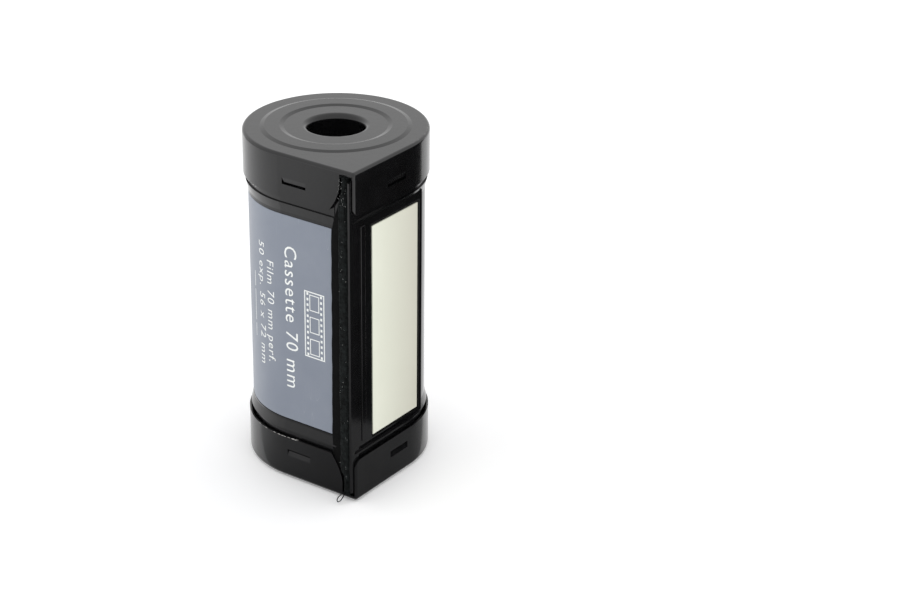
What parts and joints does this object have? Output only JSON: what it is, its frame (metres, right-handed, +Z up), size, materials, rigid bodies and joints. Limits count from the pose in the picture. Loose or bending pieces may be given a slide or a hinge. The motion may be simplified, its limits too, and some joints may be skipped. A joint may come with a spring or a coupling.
{
  "type": "roll film cassette",
  "caption": "Reusable sheet-metal cassette for wide roll film: teardrop can with pull-off caps, plush-lined film slit, label and memo plates, and a flanged spool inside.",
  "frame": {"origin": "on the spool's axis, in the plane that the raised ring of the bottom cap stands on", "axes": "+Z up along the spool's axis, +X out of the memo wall, -Y out of the label wall, film slit at the +X -Y corner"},
  "size_m": [0.0402, 0.0409, 0.077],
  "materials": {
    "black_enamel": "gloss black stoving enamel, worn at the edges",
    "plush": "black cotton velvet",
    "label_print": null,
    "memo_cream": "satin cream, takes a pencil",
    "spool_enamel": "semi-gloss black",
    "hub_alloy": "turned, black-anodised outer end",
    "steel": "bright spring steel",
    "fibre": "dark vulcanised fibre"
  },
  "bodies": {
    "bottom_cap": {"bottom_cap": "black_enamel", "bottom_wear_washer": "fibre", "bottom_trap_ring": "plush"},
    "shell": {"shell": "black_enamel", "label_plate": "label_print", "memo_plate": "memo_cream", "label_lip_plush": "plush", "panel_lip_plush": "plush"},
    "top_cap": {"top_cap": "black_enamel", "top_wear_washer": "fibre", "top_trap_ring": "plush"},
    "spool": {"spool_core": "spool_enamel", "spool_top_flange": "spool_enamel", "spool_bottom_flange": "spool_enamel", "spool_top_hub": "hub_alloy", "spool_bottom_hub": "hub_alloy", "top_hub_rivets": "steel", "bottom_hub_rivets": "steel", "film_clip": "steel", "clip_rivets": "steel"}
  },
  "joints": [
    {"name": "shell_lift", "type": "slide", "parent": "bottom_cap", "child": "shell", "axis": [0, 0, 1], "range_m": [0, 0.08]},
    {"name": "top_cap_lift", "type": "slide", "parent": "shell", "child": "top_cap", "axis": [0, 0, 1], "range_m": [0, 0.025]},
    {"name": "spool_spin", "type": "hinge", "parent": "bottom_cap", "child": "spool", "pos_m": [0, 0, 0], "axis": [0, 0, 1], "continuous": true}
  ]
}
